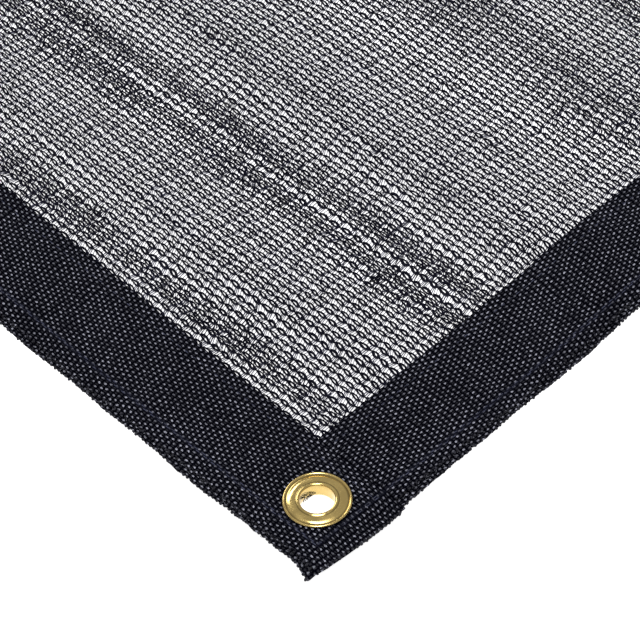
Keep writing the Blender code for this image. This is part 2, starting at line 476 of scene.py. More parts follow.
def set_points(obj, points):
    """Moves a piece's vertices to the places given, one row for each."""
    obj.data.vertices.foreach_set("co", points.astype(np.float32).ravel())
    obj.data.update()


def dress(obj, nodes=(), smooth_angle=None):
    """Shades a finished piece smooth and ties it to the frame."""
    only(obj)
    if smooth_angle is None:
        bpy.ops.object.shade_smooth()
    else:
        bpy.ops.object.shade_smooth_by_angle(angle=smooth_angle)
    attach(obj, BODY)
    if nodes:
        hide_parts(*nodes)
    return obj


def tubes(name, lines, radius, finish, capped=False, swell=None):
    """A mesh of four-sided tubes, one along each line of points. swell lists the share of the
    radius that a tube has at each of its points."""
    curve = bpy.data.curves.new(name, "CURVE")
    curve.dimensions = "3D"
    curve.twist_mode = "Z_UP"
    curve.bevel_depth = radius
    curve.bevel_resolution = 0
    curve.use_fill_caps = capped
    for line in lines:
        spline = curve.splines.new("POLY")
        spline.points.add(len(line) - 1)
        places = np.ones((len(line), 4))
        places[:, :3] = line
        spline.points.foreach_set("co", places.ravel())
        if swell:
            spline.points.foreach_set("radius", swell)
    obj = bpy.data.objects.new(name, curve)
    bpy.context.scene.collection.objects.link(obj)
    only(obj)
    bpy.ops.object.convert(target="MESH")
    obj = bpy.context.object
    obj.data.materials.append(finish)
    return obj


def rod(name, start, end, radius, finish):
    """A straight closed rod between two points."""
    start, end = Vector(start), Vector(end)
    along = end - start
    bpy.ops.mesh.primitive_cylinder_add(
        vertices=ROD_SIDES,
        radius=radius,
        depth=along.length,
        location=(start + end) / 2,
        rotation=along.to_track_quat("Z", "Y").to_euler(),
    )
    obj = bpy.context.object
    obj.name = name
    obj.data.materials.append(finish)
    bpy.ops.object.transform_apply(location=True, rotation=True, scale=True)
    return obj


def repeat(obj, count, offset, merge=False):
    """Copies a piece in a row, and merges each copy with the next if asked to."""
    array = obj.modifiers.new("Row", "ARRAY")
    array.count = count
    array.use_relative_offset = False
    array.use_constant_offset = True
    array.constant_offset_displace = offset
    array.use_merge_vertices = merge
    array.merge_threshold = MERGE_REACH
    apply_modifiers(obj)


# Materials


class Value:
    """A node's output that arithmetic can be done on: each operation adds its Math node."""

    def __init__(self, finish, socket):
        self.finish = finish
        self.socket = socket

    def math(self, operation, *values):
        node = self.finish.add("ShaderNodeMath", {"operation": operation}, values)
        return Value(self.finish, node.outputs[0])

    def __add__(self, other):
        return self.math("ADD", self, other)

    def __radd__(self, other):
        return self.math("ADD", other, self)

    def __sub__(self, other):
        return self.math("SUBTRACT", self, other)

    def __rsub__(self, other):
        return self.math("SUBTRACT", other, self)

    def __mul__(self, other):
        return self.math("MULTIPLY", self, other)

    def __rmul__(self, other):
        return self.math("MULTIPLY", other, self)

    def __truediv__(self, other):
        return self.math("DIVIDE", self, other)

    def __pow__(self, other):
        return self.math("POWER", self, other)

    def floor(self):
        return self.math("FLOOR", self)

    def cos(self):
        return self.math("COSINE", self)

    def at_least(self, other):
        return self.math("MAXIMUM", self, other)

    def at_most(self, other):
        return self.math("MINIMUM", self, other)

    def clamped(self):
        return self.at_least(0.0).at_most(1.0)

    def between(self, low, high):
        """0 up to low, 1 from high on, and a soft rise between."""
        node = self.finish.add(
            "ShaderNodeMapRange",
            {"interpolation_type": "SMOOTHSTEP"},
            {"Value": self, "From Min": low, "From Max": high},
        )
        return Value(self.finish, node.outputs["Result"])

    def near(self, middle, reach):
        """1 at middle and 0 from reach on."""
        return (1.0 - ((self - middle) / reach) ** 2.0).clamped()


class Finish:
    """A material that is put together node by node."""

    def __init__(self, name):
        self.material = bpy.data.materials.new(name)
        self.material.use_nodes = True
        self.tree = self.material.node_tree
        self.shader = self.tree.nodes["Principled BSDF"]

    def add(self, kind, settings, inputs):
        """Adds a node: its settings first, then the values or links of its inputs."""
        node = self.tree.nodes.new(kind)
        for name, value in settings.items():
            setattr(node, name, value)
        pairs = inputs.items() if isinstance(inputs, dict) else enumerate(inputs)
        for key, value in pairs:
            self.feed(node.inputs[key], value)
        return node

    def feed(self, socket, value):
        """Links a value to a socket, or sets a plain number, colour or vector on it."""
        if isinstance(value, Value):
            self.tree.links.new(value.socket, socket)
        else:
            socket.default_value = value

    def value(self, node, output):
        return Value(self, node.outputs[output])

    def place(self):
        """The point in the piece's own coordinates."""
        return self.value(self.add("ShaderNodeTexCoord", {}, {}), "Object")

    def laid(self, name):
        """The two parts of the piece's own map, in metres along its yarns."""
        uv = self.add("ShaderNodeUVMap", {"uv_map": name}, {})
        parts = self.add("ShaderNodeSeparateXYZ", {}, [self.value(uv, "UV")])
        return self.value(parts, "X"), self.value(parts, "Y")

    def joined(self, x, y, z):
        return self.value(self.add("ShaderNodeCombineXYZ", {}, [x, y, z]), "Vector")

    def attribute(self, name):
        node = self.add("ShaderNodeAttribute", {"attribute_name": name}, {})
        return self.value(node, "Fac")

    def noise(self, vector, scale, detail=2.0, roughness=0.5):
        node = self.add(
            "ShaderNodeTexNoise",
            {},
            {"Vector": vector, "Scale": scale, "Detail": detail, "Roughness": roughness},
        )
        return self.value(node, "Fac")

    def white(self, vector):
        node = self.add("ShaderNodeTexWhiteNoise", {"noise_dimensions": "3D"}, {"Vector": vector})
        return self.value(node, "Value")

    def mix(self, share, first, second):
        """A colour between two colours."""
        node = self.add("ShaderNodeMix", {"data_type": "RGBA"}, {})
        self.feed(node.inputs[0], share)
        self.feed(node.inputs[6], first)
        self.feed(node.inputs[7], second)
        return Value(self, node.outputs[2])

    def bump(self, height, distance, strength=1.0):
        node = self.add(
            "ShaderNodeBump", {}, {"Height": height, "Distance": distance, "Strength": strength}
        )
        self.feed(self.shader.inputs["Normal"], self.value(node, "Normal"))

    def set(self, **values):
        """Sets or links the shader's sockets, named with underscores for spaces."""
        for name, value in values.items():
            socket = name.replace("_", " ").title().replace("Ior", "IOR")
            self.feed(self.shader.inputs[socket], value)


def rgba(colour, scale=1.0):
    """A colour made lighter or darker, with the fourth part that a socket takes."""
    return tuple(min(1.0, part * scale) for part in colour[:3]) + (1.0,)


def knit_finish(name, colour, roughness):
    """Black plastic yarn, slightly shiny and uneven in tone."""
    finish = Finish(name)
    place = finish.place()
    patch = finish.noise(place, 90.0)
    grain = finish.noise(place, 2600.0, detail=1.0)
    tone = (0.35 * patch + 0.65 * grain).between(0.30, 0.72)
    finish.set(
        base_color=finish.mix(tone, rgba(colour, 0.6), rgba(colour, 1.9)),
        roughness=roughness + 0.2 * grain,
        specular_ior_level=0.05,
    )
    finish.bump(grain, 0.00004, 0.6)
    return finish.material


SEAM_BAND = 0.0015  # half width of the dull band along a seam
SEAM_BAND_END = 0.0014
# Painted shade: a dark line where the tape's painted highlights fade out at its inner edge
TAPE_EDGE_SHADE = (-0.0004, 0.0012)  # the tape is dark up to its inner edge


def weave(across, along, sway, lean, tape):
    """The woven tape's yarns: their height, which lengthwise yarn a place is on and how far off
    its middle, and how many times that yarn has risen there."""
    warp = across / tape.warp_pitch + 1.2 * sway
    pick = along / tape.pick_pitch + 1.0 * lean
    yarn = warp.floor()
    off_yarn = 2.0 * (warp - yarn) - 1.0
    turn = (math.pi * (pick + yarn)).cos()
    yarn_round = (1.0 - off_yarn * off_yarn).at_least(0.0) ** 0.5
    warp_height = yarn_round * (0.55 + 0.45 * turn)
    row = (pick + 0.5).floor()
    off_row = 2.0 * (pick - row)
    weft_turn = (math.pi * (warp - 0.5 + row)).cos()
    weft_round = (1.0 - off_row * off_row).at_least(0.0) ** 0.5
    weft_height = weft_round * (0.42 - 0.38 * weft_turn)
    return warp_height.at_least(weft_height), yarn, off_yarn, 0.5 * (pick + yarn)


def sewn_band(across, along, tape):
    """1 in the middle of the outer seam, along the tape and across its ends, and 0 off it."""
    seam, end_seam = TOP_INNER - tape.outer_seam, HALF - tape.outer_seam
    off_middle = ((along - HALF) ** 2.0) ** 0.5
    past_end = off_middle.between(end_seam, end_seam + SEAM_BAND_END)
    past_seam = across.between(seam, seam + SEAM_BAND_END)
    side = across.near(seam, SEAM_BAND) * (1.0 - past_end)
    end = off_middle.near(end_seam, SEAM_BAND) * (1.0 - past_seam)
    return side.at_least(end)


def tape_finish(name, colours, tape):
    """Woven black tape: lengthwise yarns that rise over every other crosswise one, with a painted
    highlight on each one's crown and painted light on the yarns' tops."""
    finish = Finish(name)
    across, along = finish.laid("Weave")
    flat = finish.joined(across, along, 0.0)
    sway = finish.noise(flat, 75.0, detail=1.0) - 0.5
    lean = finish.noise(finish.joined(along, across, 3.7), 60.0, detail=1.0) - 0.5
    height, yarn, off_yarn, rise = weave(across, along, sway, lean, tape)
    crown_place = (rise + 0.5).floor()
    fuzz = finish.noise(flat, 1500.0, detail=2.0)
    patch = finish.noise(flat, 34.0, detail=2.0)
    each = finish.white(finish.joined(yarn, crown_place, 1.0))
    other = finish.white(finish.joined(yarn, crown_place, 5.0))
    off_rise = rise - crown_place + 0.14 * (each - 0.5)
    off_side = off_yarn + 0.55 * (other - 0.5)
    # Painted highlights in the base colour: a glint on each yarn's crown, painted light on the tops
    # of the yarns and small light flecks, mixed towards the crown highlight colour
    lit = 0.85 - (off_side / 0.82) ** 2.0 - (off_rise / 0.16) ** 2.0 + 3.2 * (fuzz - 0.5)
    crown = lit.between(-0.1, 0.85) * (0.25 + 0.80 * each) * (0.45 + 1.0 * patch)
    yarn_top_light = (height - 0.56).at_least(0.0) * (0.2 + 1.5 * fuzz) * (0.4 + 1.2 * patch)
    glint_specks = (fuzz - 0.60).at_least(0.0)
    sewn = sewn_band(across, along, tape)
    # Under the seams the thread covers the highlights; at the tape's inner edge they fade out as a
    # painted shade line
    plain = (1.0 - 0.45 * sewn) * across.between(*TAPE_EDGE_SHADE)
    glint = (crown + 0.24 * yarn_top_light + 0.5 * glint_specks).clamped() * plain
    ground = finish.mix(patch, rgba(colours.tape_ground, 0.7), rgba(colours.tape_ground, 1.5))
    woven = finish.mix(glint, ground, rgba(colours.tape_crown_highlight))
    finish.set(
        base_color=finish.mix(0.3 * sewn * fuzz, woven, rgba(colours.thread)),
        roughness=0.62 - 0.18 * crown.clamped() + 0.1 * fuzz,
        specular_ior_level=0.0,
    )
    finish.bump(height + 0.12 * fuzz, 0.00022, 0.8)
    return finish.material


def thread_finish(name, colour):
    """Twisted sewing thread."""
    finish = Finish(name)
    place = finish.place()
    grain = finish.noise(place, 3200.0, detail=1.0)
    patch = finish.noise(place, 240.0, detail=1.0)
    tone = (0.5 * grain + 0.5 * patch).between(0.35, 0.65)
    finish.set(
        base_color=finish.mix(tone, rgba(colour, 0.5), rgba(colour, 2.6)),
        roughness=0.5 + 0.2 * grain,
        specular_ior_level=0.15,
    )
    finish.bump(grain, 0.00006, 0.7)
    return finish.material


def brass_finish(name, colour):
    """Pressed brass: soft shine, faint wear, and painted shade in its grooves and throat."""
    finish = Finish(name)
    place = finish.place()
    cloud = finish.noise(place, 160.0, detail=3.0)
    wear = finish.noise(place, 1900.0, detail=3.0, roughness=0.65)
    worn = (0.6 * cloud + 0.4 * wear).between(0.42, 0.66)
    clean = finish.mix(worn, rgba(colour, 0.88), rgba(colour, 1.04))
    finish.set(
        # Painted shade: the brass is darkened where the groove marks are
        base_color=finish.mix(0.75 * finish.attribute("Groove_shade"), clean, rgba(colour, 0.16)),
        roughness=0.12 + 0.10 * worn + 0.05 * wear,
        metallic=1.0,
    )
    finish.bump(wear, 0.00001, 0.5)
    return finish.material


def floor_finish(name, colour):
    """Plain pale floor with hardly any grain, a little lit from below as a light table is."""
    finish = Finish(name)
    grain = finish.noise(finish.place(), 40.0)
    finish.set(
        base_color=finish.mix(grain, rgba(colour, 0.99), rgba(colour)),
        roughness=0.85,
        emission_color=rgba(colour),
        emission_strength=0.85,
    )
    return finish.material


def material(name, make, *arguments):
    """The material of that name, made once."""
    found = bpy.data.materials.get(name)
    return found or make(name, *arguments)


# The knit

CHAIN_SHARE = 0.315  # how much of the chain pitch a chain takes to either side of its middle
CHAIN_UNEVEN = 0.06
BAND_NARROWS, BAND_REACH = 0.17, 1.5  # how much closer the chains lie in a full dark band
LINE_WIDENS, LINE_REACH = 0.30, 1.6  # how much further apart they lie at a full light line
LEAN = 0.030  # how far the chains lean off the tapes' direction, against their length
LEAN_ROOT = 0.15  # along, where a leaning chain stays in place
LEAN_FROM, LEAN_TO = (0.065, 0.13), (0.29, 0.34)  # across, where the lean sets in and ends
STRAY_FIELDS = (
    # chains and stitches to a step, how far stitches move
    (1.0, 1.0, 0.00027),
    (1.0, 7.0, 0.00038),
    (3.5, 3.5, 0.00020),
    (11.0, 11.0, 0.00060),
)
FIELD_STEPS = (140, 110)
ALONG_STRAY = 1.6  # stitches stray this much further along a chain than across it
HEIGHT_STRAY = 0.4
SPARE_COURSES = 6.0  # keeps a stitch's place in the fields above 0
FIRST_STEP = -0.9


class KnitPlan:
    """Where each chain of the knit runs, and how the cloth's unevenness moves its stitches."""

    def __init__(self, knit):
        self.knit = knit
        first = TOP_INNER - knit.tuck_in
        rng = np.random.default_rng(7)
        places = [first]
        while places[-1] < SIDE - first:
            uneven = 1.0 + CHAIN_UNEVEN * float(np.clip(rng.normal(), -2.0, 2.0))
            places.append(places[-1] + knit.wale_pitch * self.spacing(places[-1]) * uneven)
        self.wales = np.array(places)
        # A chain keeps its own width where the chains lie closer together or wider apart
        index = np.arange(len(places))
        self.sides_flat = np.stack([index - CHAIN_SHARE, index + CHAIN_SHARE], axis=1).ravel()
        uneven = 1.0 + CHAIN_UNEVEN * rng.normal(size=len(places))
        half = CHAIN_SHARE * knit.wale_pitch * uneven
        self.sides = np.stack([self.wales - half, self.wales + half], axis=1).ravel()
        self.top = SIDE - TOP_INNER + knit.tuck_ends
        self.courses = math.ceil((2 * self.top - SIDE) / knit.stitch_length)
        self.fields = [(*field, rng.normal(size=(3, *FIELD_STEPS))) for field in STRAY_FIELDS]

    @staticmethod
    def spacing(across):
        """How wide the knit is at a place, against its usual pitch."""
        width = 1.0
        for middle, half_width, strength in DARK_BANDS:
            band = float(hump(across - middle, BAND_REACH * half_width))
            width -= BAND_NARROWS * strength * band
        for middle, half_width, strength in LIGHT_LINES:
            line = float(hump(across - middle, LINE_REACH * half_width))
            width += LINE_WIDENS * strength * line
        return width

    def drift(self, across, along):
        """How far a leaning chain is off its place across."""
        free = smooth(*LEAN_FROM, across) * (1.0 - smooth(*LEAN_TO, across))
        return -LEAN * (along - LEAN_ROOT) * free

    def stray(self, wale, course):
        """Uneven moves across, along and up, smooth from stitch to stitch."""
        total = np.zeros((3, len(wale)))
        for chains, stitches, reach, table in self.fields:
            row, column = wale / chains + 1.0, course / stitches + 1.0
            row_low, column_low = np.floor(row).astype(int), np.floor(column).astype(int)
            row_share, column_share = row - row_low, column - column_low
            corners = [
                table[:, row_low + i, column_low + j]
                * np.abs(1 - i - row_share)
                * np.abs(1 - j - column_share)
                for i in (0, 1)
                for j in (0, 1)
            ]
            total += reach * sum(corners)
        return total

    def lay(self, obj, first_wale):
        """Moves a flat array of stitches onto the cloth. Its X runs across the chains from the
        first one, and its Y goes down the courses."""
        knit = self.knit
        points = points_of(obj)
        wale = first_wale + points[:, 0] / knit.wale_pitch
        along_flat = points[:, 1] - knit.course_drop * first_wale
        shift = knit.stitch_length * round(knit.course_drop * first_wale / knit.stitch_length)
        along = self.top + along_flat + shift
        course = (self.top - along - knit.course_drop * wale) / knit.stitch_length + SPARE_COURSES
        flat = self.sides_flat
        beyond = np.maximum(wale - flat[-1], 0.0) + np.minimum(wale - flat[0], 0.0)
        across = np.interp(wale, flat, self.sides) + beyond * knit.wale_pitch
        moves = self.stray(np.maximum(wale, FIRST_STEP), np.maximum(course, FIRST_STEP))
        across = across + self.drift(across, along) + moves[0]
        along = along + ALONG_STRAY * moves[1]
        rise = np.abs(moves[2]) * HEIGHT_STRAY * openness(across, along)
        height = np.maximum(net_height(across, along) + points[:, 2] + rise, FLOOR_GAP)
        set_points(obj, np.stack([across - HALF, along - HALF, height], axis=1))


# One stitch of a chain: share of its length down it, middle and half opening in mm, thickness
STITCH_LINE = (
    (0.00, 0.28, 0.38, 0.88),
    (0.20, 0.16, 0.66, 1.00),
    (0.42, -0.02, 0.80, 0.95),
    (0.66, -0.26, 0.42, 1.12),
    (0.85, -0.04, 0.16, 0.42),
)
KNOT_PLACE = (-0.22, 0.67, 0.05)  # mm across, share of the stitch's length down it, mm up
KNOT_SIZE = (1.00, 0.88, 0.48)  # mm, half sizes
KNOT_TURN = math.radians(30.0)
STRAND_WAVE, STRAND_ARCH = 0.10, 0.07  # mm
FILAMENTS = (
    # share of the stitch's length down it, rise in mm over one chain pitch, height in mm, thickness
    (0.10, 0.95, -0.06, 0.75),
    (0.34, 0.90, -0.08, 0.70),
    (0.60, 0.70, 0.00, 1.15),
    (0.76, 0.85, 0.02, 1.00),
    (0.90, 0.95, -0.04, 0.85),
)


def strand_place(side, share):
    """Where a chain's strand is across the chain, in mm, at a share of the stitch's length."""
    shares = [part for part, _, _, _ in STITCH_LINE] + [1.0]
    places = [middle + side * half for _, middle, half, _ in STITCH_LINE]
    return float(np.interp(share % 1.0, shares, places + places[:1]))


def stitch_strand(name, side, knit, strand):
    """One of a chain's two strands, over one stitch, open at both ends."""
    before = [(share - 1.0, *rest) for share, *rest in STITCH_LINE[-1:]]
    after = [(share + 1.0, *rest) for share, *rest in STITCH_LINE[:2]]
    line = before + list(STITCH_LINE) + after
    points = []
    for share, middle, half, _ in line:
        wave = STRAND_WAVE * math.sin(math.tau * (share - 0.3)) * side
        height = (STRAND_ARCH * math.cos(math.tau * (share - 0.33)) + wave) * MM
        points.append(((middle + side * half) * MM, -share * knit.stitch_length, height))
    obj = tubes(name, [points], knit.strand_radius, strand, swell=[step[3] for step in line])
    # The first and the last ring only gave the tube its direction there
    mesh = bmesh.new()
    mesh.from_mesh(obj.data)
    mesh.verts.ensure_lookup_table()
    spare = mesh.verts[:TUBE_SIDES] + mesh.verts[-TUBE_SIDES:]
    bmesh.ops.delete(mesh, geom=spare, context="VERTS")
    mesh.to_mesh(obj.data)
    mesh.free()
    return obj


def make_stitch(knit, strand, filament):
    """One stitch of the knit: its two strands, the knot that closes it, and the threads across
    the gap to the next chain."""
    parts = [stitch_strand("strand", side, knit, strand) for side in (-1, 1)]
    bpy.ops.mesh.primitive_uv_sphere_add(segments=4, ring_count=3, radius=1.0)
    knot = bpy.context.object
    knot.scale = [size * MM for size in KNOT_SIZE]
    knot.rotation_euler = (0.0, 0.0, KNOT_TURN)
    across, share, up = KNOT_PLACE
    knot.location = (across * MM, -share * knit.stitch_length, up * MM)
    bpy.ops.object.transform_apply(location=True, rotation=True, scale=True)
    knot.data.materials.append(strand)
    parts.append(knot)
    for share, rise, height, thickness in FILAMENTS:
        down = share * knit.stitch_length
        end_share = share - rise * MM / knit.stitch_length
        end_across = knit.wale_pitch + strand_place(-1, end_share) * MM
        start = (strand_place(1, share) * MM, -down, height * MM)
        end = (end_across, rise * MM - down - knit.course_drop, height * MM)
        radius = knit.filament_radius * thickness
        parts.append(rod("filament", start, end, radius, filament))
    return join(parts, "stitch")


def close_ends(obj):
    """Closes the ends of a piece's tubes."""
    only(obj)
    bpy.ops.object.mode_set(mode="EDIT")
    bpy.ops.mesh.select_all(action="SELECT")
    bpy.ops.mesh.fill_holes(sides=TUBE_SIDES)
    bpy.ops.object.mode_set(mode="OBJECT")


THREADS_ALL_OVER, THREADS_PATCHY = 0.15, 0.06
THREAD_BAND_REACH, THREAD_BAND_SWAY, THREAD_BAND_FADE = 2.2, 0.0022, 0.28
THREAD_LINE_REACH, THREAD_LINE_CLEARS = 1.8, 0.85


def thread_share(across, along):
    """How many loose threads stray over a place, from 0 to 1: most in the dark bands."""
    patch = math.sin(43.0 * across + 1.0) * math.sin(37.0 * along)
    share = THREADS_ALL_OVER + THREADS_PATCHY * patch
    for middle, half_width, strength in DARK_BANDS:
        sway = THREAD_BAND_SWAY * math.sin(57.0 * along + 40.0 * middle)
        wane = math.sin(61.0 * along + 300.0 * middle)
        fade = 1.0 - THREAD_BAND_FADE + THREAD_BAND_FADE * wane
        band = float(hump(across - middle - sway, THREAD_BAND_REACH * half_width))
        share += strength * fade * band
    for middle, half_width, strength in LIGHT_LINES:
        line = float(hump(across - middle, THREAD_LINE_REACH * half_width))
        share *= 1.0 - THREAD_LINE_CLEARS * strength * line
    return min(share, 1.0)


EVEN_ACROSS, EVEN_ALONG = 0.7548776662, 0.5698402910  # steps that fill a square evenly
THICK_SHARE = 0.22
THREAD_RADIUS = {"thin": 0.00020, "thick": 0.00028}
THREAD_CHAINS = (0.8, 1.6, 1.8)  # least, most, and what a dark band adds to the most
THREAD_SLOPES = (-4.0, 34.0)  # degrees
THREAD_BULGE = (0.00035, 0.00045)  # usual arch, and what a dark band adds to it
THREAD_HEIGHTS = (-0.00005, 0.00045)
THREAD_WAVE, THREAD_DIP = 0.00012, 0.00014
THREAD_PARTS = (0.0, 0.33, 0.67, 1.0)


def loose_thread(plan, across, along, share, rng):
    """A thread's line, in the flat knit: a slanted run over some chains, arched and waved."""
    pitch = plan.knit.wale_pitch
    least, most, more = THREAD_CHAINS
    chains = rng.uniform(least, most + more * share)
    run = chains * pitch
    slope = math.tan(math.radians(rng.uniform(*THREAD_SLOPES)))
    bulge = rng.normal(0.0, THREAD_BULGE[0] + THREAD_BULGE[1] * share)
    height = rng.uniform(*THREAD_HEIGHTS)
    wale = float(np.interp(across, plan.wales, np.arange(len(plan.wales))))
    line = []
    for part in THREAD_PARTS:
        arch = bulge * math.sin(math.pi * part)
        wave = THREAD_WAVE * math.sin(math.tau * part * chains)
        line.append((
            wale * pitch + run * (part - 0.5),
            along - plan.top + run * slope * (part - 0.5) + arch + wave,
            height + THREAD_DIP * math.cos(math.tau * part * chains),
        ))
    return line


def make_loose_threads(plan, finish):
    """Thin threads that stray from chain to chain: a few all over, and many in the dark bands."""
    rng = np.random.default_rng(11)
    lines = {"thin": [], "thick": []}
    first, last = TOP_INNER + 0.001, SIDE - TOP_INNER - 0.001
    tries = 0
    while len(lines["thin"]) + len(lines["thick"]) < plan.knit.loose_threads:
        tries += 1
        across = first + (last - first) * (tries * EVEN_ACROSS % 1.0)
        along = first + (last - first) * (tries * EVEN_ALONG % 1.0)
        share = thread_share(across, along)
        if rng.random() > share:
            continue
        line = loose_thread(plan, across, along, share, rng)
        lines["thick" if rng.random() < THICK_SHARE else "thin"].append(line)
    parts = [
        tubes(kind, lines[kind], THREAD_RADIUS[kind], finish, capped=True) for kind in lines
    ]
    threads = join(parts, "net_loose_threads")
    plan.lay(threads, 0)
    return threads


class SHADE_OT_make_net(bpy.types.Operator):
    """Knit the net in strips and lay them between the tapes"""

    bl_idname = "shade_cloth.make_net"
    bl_label = "Make knitted net"

    def execute(self, context):
        settings = context.scene.shade_cloth
        knit = settings.knit
        strand = material("knit_strand", knit_finish, settings.colour.strand, 0.42)
        # The filaments' grey colour is a painted sheen on black yarn
        filament = material("knit_filament", knit_finish, settings.colour.filament, 0.50)
        plan = KnitPlan(knit)
        threads = make_loose_threads(plan, strand)
        dress(threads, ["net_panel"])

        stitch = make_stitch(knit, strand, filament)
        repeat(stitch, plan.courses, (0.0, -knit.stitch_length, 0.0), merge=True)
        last = len(plan.wales) - 1
        firsts = [round(last * index / knit.strips) for index in range(knit.strips + 1)]
        for index, (first, end) in enumerate(zip(firsts, firsts[1:])):
            strip = stitch.copy()
            strip.data = stitch.data.copy()
            strip.name = f"net_strip_{index + 1}"
            strip.data.name = strip.name
            context.scene.collection.objects.link(strip)
            repeat(strip, end - first, (knit.wale_pitch, -knit.course_drop, 0.0))
            close_ends(strip)
            plan.lay(strip, first)
            dress(strip, ["net_panel"])
        bpy.data.objects.remove(stitch)
        return {"FINISHED"}


# The tapes

STATIONS = {
    # mm, from the outer edge of the tape to its inner edge
    "under": (0.0, 0.4, 1.1, 2.4, 6.0, 18.0, 34.0, 49.4, 50.0),
    "top": (
        0.0, 0.4, 1.0, 2.2, 4.5, 7.6, 8.8, 10.0, 14.0, 22.0, 32.0, 41.4, 42.6, 43.8, 47.0, 49.4, 50.0,
    ),
}
TAPE_STEPS = 320
TOP_EXTRA_INSET = 0.0007  # how much further in the top tapes' edge lies than in their solids
TOP_EXTRA_INSET_BETWEEN = 0.0022  # the same for the front and back tapes
FRAY_STEPS = 700
FRAY_FINE, FRAY_COARSE = 0.55, 0.6
FRAY_DEPTH = 0.0022
SELVAGE_WAVE, SELVAGE_PITCH = 0.00012, 0.0049
SMOOTH_TAPE = math.radians(40.0)
PUNCH_SIDES, PUNCH_LENGTH = 48, 0.03


def end_step(across):
    """How far short of the panel's end a through tape stops: it slants out from its corner."""
    return END_STEP * (1.0 - smooth(0.0, END_SLANT, across))


def outer_edge(layer, edge, place):
    """Depth of a tape layer's outer edge, where its cut yarns end."""
    inset = INSETS[layer]
    index = LAYERS.index(layer)
    far = edge in FAR_EDGES
    if edge in THROUGH_EDGES:
        phase = 0.9 + 1.7 * index + 2.6 * far
        return inset + TOP_EXTRA_INSET * index + WANDER + wander(place, phase)
    phase = 2.2 + 1.3 * index + 3.1 * far
    extra = inset / 2 + TOP_EXTRA_INSET_BETWEEN * index
    return END_STEP + extra + wander(place, phase)


def fray(place, depth_from_cut, tape, seed):
    """A ragged in and out along a cut edge, that dies out just inside it."""
    rng = np.random.default_rng(seed)
    steps = np.arange(FRAY_STEPS)
    fine = rng.normal(size=FRAY_STEPS)
    coarse = np.interp(steps, steps[::5], rng.normal(size=FRAY_STEPS // 5))
    at = np.clip(place / SIDE, 0.0, 1.0) * (FRAY_STEPS - 6)
    ragged = FRAY_FINE * np.interp(at, steps, fine)
    ragged = ragged + FRAY_COARSE * np.interp(at, steps, coarse)
    return tape.fray * ragged * (1.0 - smooth(0.0, FRAY_DEPTH, depth_from_cut))


def make_tape(layer, edge, tape, finish):
    """One layer of edge tape, from a flat grid: laid on the panel, frayed, thickened."""
    through = edge in THROUGH_EDGES
    inset = INSETS[layer]
    inner = inset + TAPE_WIDTH
    first = 0.0 if through else inner + LAYER_GAP
    length = SIDE - 2 * first
    stations = np.array(STATIONS[layer]) * MM / TAPE_WIDTH
    columns = len(stations) - 1
    steps = round(TAPE_STEPS * length / SIDE)
    bpy.ops.mesh.primitive_grid_add(x_subdivisions=columns, y_subdivisions=steps, size=1.0)
    sheet = bpy.context.object
    sheet.name = f"tape_{layer}_{edge}"
    sheet.data.name = sheet.name
    flat = points_of(sheet) + 0.5
    share = stations[np.rint(flat[:, 0] * columns).astype(int)]
    place = first + length * flat[:, 1]
    outer = outer_edge(layer, edge, place)
    depth = outer + (inner - outer) * share
    if through:
        start = end_step(depth)
        place = start + (SIDE - 2 * start) * flat[:, 1]
    woven = np.stack([inner - depth, place], axis=1)
    seed = 20 + 4 * LAYERS.index(layer) + EDGES.index(edge)
    depth = depth + fray(place, depth - outer, tape, seed)
    if through:
        from_front, from_back = place - end_step(depth), SIDE - end_step(depth) - place
        place = place + fray(depth * 3.0, from_front, tape, seed + 40)
        place = place - fray(depth * 3.0, from_back, tape, seed + 60)
    selvage = SELVAGE_WAVE * np.sin(place * math.tau / SELVAGE_PITCH) * smooth(0.9, 1.0, share)
    depth = depth + selvage
    across, along = on_panel(edge, depth, place)
    height = tape_middle(layer, across, along, tape)
    groove = seam_groove(depth, tape) if layer == "top" else 0.0
    set_points(sheet, np.stack([across - HALF, along - HALF, height - groove], axis=1))
    if edge in MIRRORED_EDGES:
        sheet.data.flip_normals()

    uv = sheet.data.uv_layers[0]
    uv.name = "Weave"
    corners = np.zeros(len(sheet.data.loops), dtype=np.int32)
    sheet.data.loops.foreach_get("vertex_index", corners)
    uv.data.foreach_set("uv", woven[corners].astype(np.float32).ravel())

    if through:
        trim_corners(sheet, CORNER_TRIM + inset)
        points = points_of(sheet)
        points[:, 0] += flare(points[:, 0] + HALF, points[:, 1] + HALF)
        set_points(sheet, points)
    sheet.data.materials.append(finish)
    solidify = sheet.modifiers.new("Thickness", "SOLIDIFY")
    solidify.thickness = CLOTH_THICK
    solidify.offset = 0.0
    apply_modifiers(sheet)
    return sheet


def trim_corners(sheet, reach):
    """Cuts the panel's corners off a tape, where the depths from both edges add up to reach."""
    only(sheet)
    bpy.ops.object.mode_set(mode="EDIT")
    for side_across in (-1, 1):
        for side_along in (-1, 1):
            bpy.ops.mesh.select_all(action="SELECT")
            bpy.ops.mesh.bisect(
                plane_co=(side_across * (HALF - reach), side_along * HALF, 0.0),
                plane_no=(side_across, side_along, 0.0),
                clear_outer=True,
            )
    bpy.ops.object.mode_set(mode="OBJECT")


def pierce(sheet, places):
    """Cuts the eyelets' round holes through a tape."""
    for across, along in places:
        bpy.ops.mesh.primitive_cylinder_add(
            vertices=PUNCH_SIDES, radius=TAPE_HOLE_RADIUS, depth=PUNCH_LENGTH
        )
        punch = bpy.context.object
        punch.matrix_world = eyelet_frame(across, along)
        hole = sheet.modifiers.new("Eyelet hole", "BOOLEAN")
        hole.operation = "DIFFERENCE"
        hole.solver = "EXACT"
        hole.object = punch
        apply_modifiers(sheet)
        bpy.data.objects.remove(punch)


